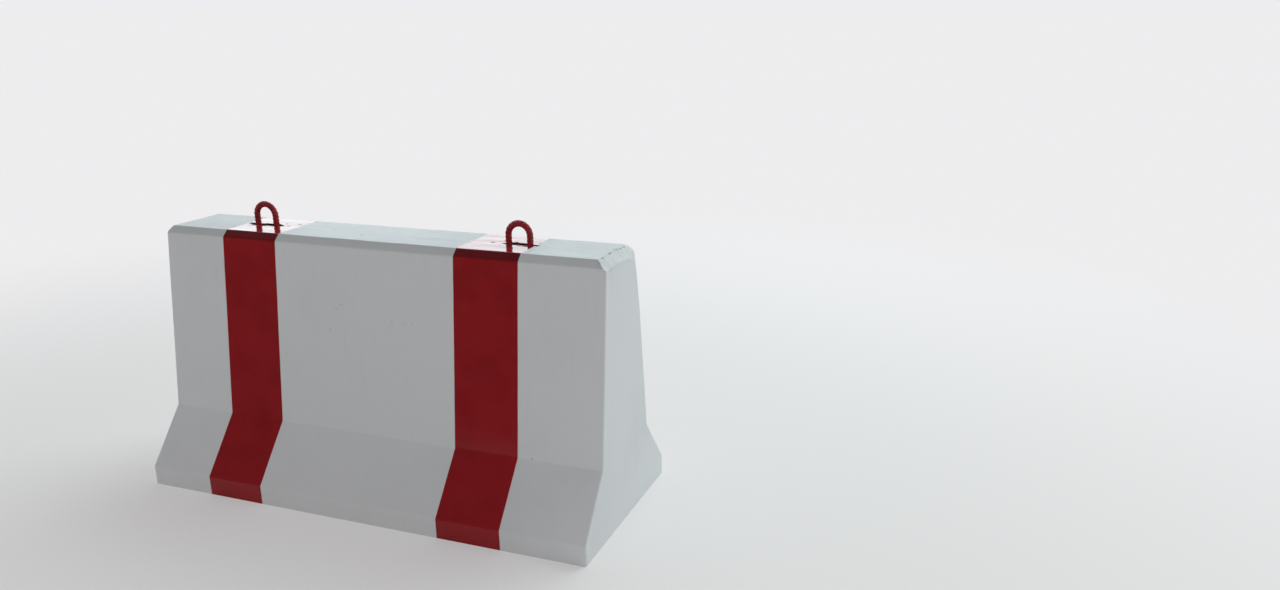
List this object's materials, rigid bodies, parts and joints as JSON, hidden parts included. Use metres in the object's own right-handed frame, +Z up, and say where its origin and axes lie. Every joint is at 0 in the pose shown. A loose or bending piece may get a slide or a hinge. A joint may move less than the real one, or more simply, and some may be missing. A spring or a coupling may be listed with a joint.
{
  "type": "concrete barrier",
  "caption": "Short precast concrete road barrier on a splayed foot with an upright toe, painted white with red stripes, with bent-bar lifting loops standing on its top.",
  "frame": {"origin": "on the floor, under the middle of the barrier", "axes": "+X along the barrier, +Y across it, +Z up"},
  "size_m": [1.5, 0.605, 0.8749],
  "materials": {
    "painted_concrete": "white wall paint, matt, with glossy red stripes across the sides and the top",
    "red_painted_bar": "glossy red paint over ribbed bar"
  },
  "bodies": {
    "root": {"concrete_block": "painted_concrete", "lifting_loop_left": "red_painted_bar", "lifting_loop_right": "red_painted_bar"}
  },
  "joints": []
}
